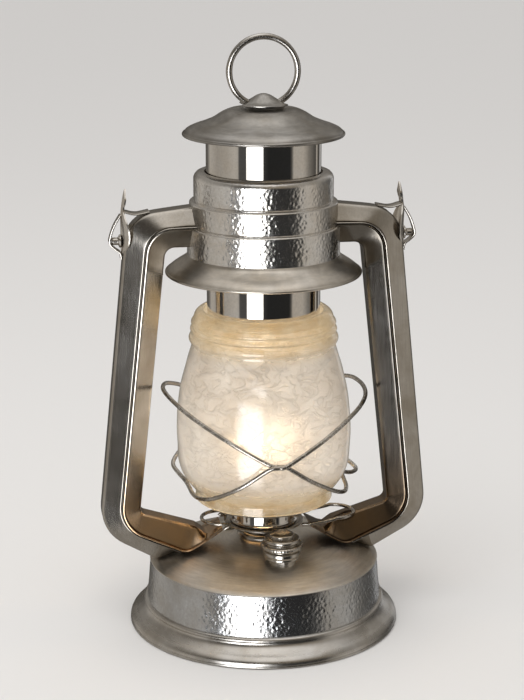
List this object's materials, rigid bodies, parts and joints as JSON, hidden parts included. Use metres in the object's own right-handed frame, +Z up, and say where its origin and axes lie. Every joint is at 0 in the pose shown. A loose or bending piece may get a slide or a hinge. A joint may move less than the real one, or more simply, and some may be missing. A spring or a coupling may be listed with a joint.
{
  "type": "barn lantern",
  "caption": "Tubular oil barn lantern with hammered fount, two side tubes, frosted glass globe in a wire guard, sprung chimney, canopy and hanging ring.",
  "frame": {"origin": "on the ground, on the lantern's axis, at the centre of the foot's underside", "axes": "+Z up along the chimney's axis; +X towards the right-hand side tube; -Y is the front, with the filler cap"},
  "size_m": [0.1996, 0.168, 0.3636],
  "materials": {
    "satin_nickel": "satin spun nickel plate",
    "hammered_nickel": "bright nickel plate with a hammered texture",
    "polished_chrome": "mirror polish",
    "dull_steel": "plain dull plate",
    "guard_wire": "drawn wire, dull plate",
    "burner_brass": "plain satin",
    "wick_cotton": "woven cotton tape",
    "seal_rubber": "matte",
    "frosted_glass": "frosted, seedy, warm cream with amber rims"
  },
  "bodies": {
    "frame": {"foot_flange": "satin_nickel", "fount_top": "satin_nickel", "tube_outer_right": "satin_nickel", "tube_outer_left": "satin_nickel", "tube_inner_right": "satin_nickel", "tube_inner_left": "satin_nickel", "ear_plate_right": "satin_nickel", "ear_plate_left": "satin_nickel", "ear_strap_right": "satin_nickel", "ear_strap_left": "satin_nickel", "ear_tab_right": "satin_nickel", "ear_tab_left": "satin_nickel", "hood_brim": "satin_nickel", "fount_wall": "hammered_nickel", "hood": "hammered_nickel", "burner_neck": "polished_chrome", "fount_floor": "dull_steel", "filler_neck": "dull_steel", "ear_pin_right": "dull_steel", "ear_pin_left": "dull_steel", "chimney_spring": "dull_steel", "burner_collar": "burner_brass", "burner_tube": "burner_brass", "burner_cone": "burner_brass", "wick_tube": "burner_brass"},
    "chimney": {"chimney_tube": "polished_chrome", "canopy": "satin_nickel", "canopy_leg_1": "dull_steel", "canopy_leg_2": "dull_steel", "canopy_leg_3": "dull_steel", "finial": "satin_nickel", "finial_nut": "dull_steel"},
    "ring": {"hanging_ring": "dull_steel"},
    "globe_carrier": {"carrier_plate": "polished_chrome", "carrier_sleeve": "polished_chrome", "globe_gallery": "dull_steel", "globe": "frosted_glass", "guard_wire_a": "guard_wire", "guard_wire_b": "guard_wire", "lift_loop_right": "guard_wire", "lift_loop_left": "guard_wire"},
    "wick_shaft": {"wick_spindle": "burner_brass", "wick_knob": "burner_brass"},
    "wick_slide": {"wick": "wick_cotton"},
    "filler_carrier": {"filler_seal": "seal_rubber"},
    "filler_top": {"filler_cap": "polished_chrome"}
  },
  "joints": [
    {"name": "chimney_lift", "type": "slide", "parent": "frame", "child": "chimney", "axis": [0, 0, 1], "range_m": [0, 0.02], "stiffness_N_per_m": 150, "springref_m": -0.02, "deforming": ["chimney_spring"]},
    {"name": "ring_swing", "type": "hinge", "parent": "chimney", "child": "ring", "pos_m": [0, 0, 0.321], "axis": [1, 0, 0], "range_deg": [-70, 70]},
    {"name": "globe_lift", "type": "slide", "parent": "frame", "child": "globe_carrier", "axis": [0, 0, 1], "range_m": [0, 0.016]},
    {"name": "wick_turn", "type": "hinge", "parent": "frame", "child": "wick_shaft", "pos_m": [0.0052, 0, 0.0595], "axis": [0, 1, 0], "range_deg": [-180, 80]},
    {"name": "wick_rise", "type": "slide", "parent": "frame", "child": "wick_slide", "axis": [0, 0, 1], "range_m": [-0.013, 0.0058]},
    {"name": "filler_rise", "type": "slide", "parent": "frame", "child": "filler_carrier", "axis": [0, 0, 1], "range_m": [0, 0.0051]},
    {"name": "filler_turn", "type": "hinge", "parent": "filler_carrier", "child": "filler_top", "pos_m": [0.0053, -0.0375, 0.0577], "axis": [0, 0, 1], "range_deg": [0, 720]}
  ],
  "couplings": [
    {"joint": "wick_rise", "follows": "wick_turn", "m_per_rad": 0.0041},
    {"joint": "filler_rise", "follows": "filler_turn", "m_per_rad": 0.00039789}
  ]
}
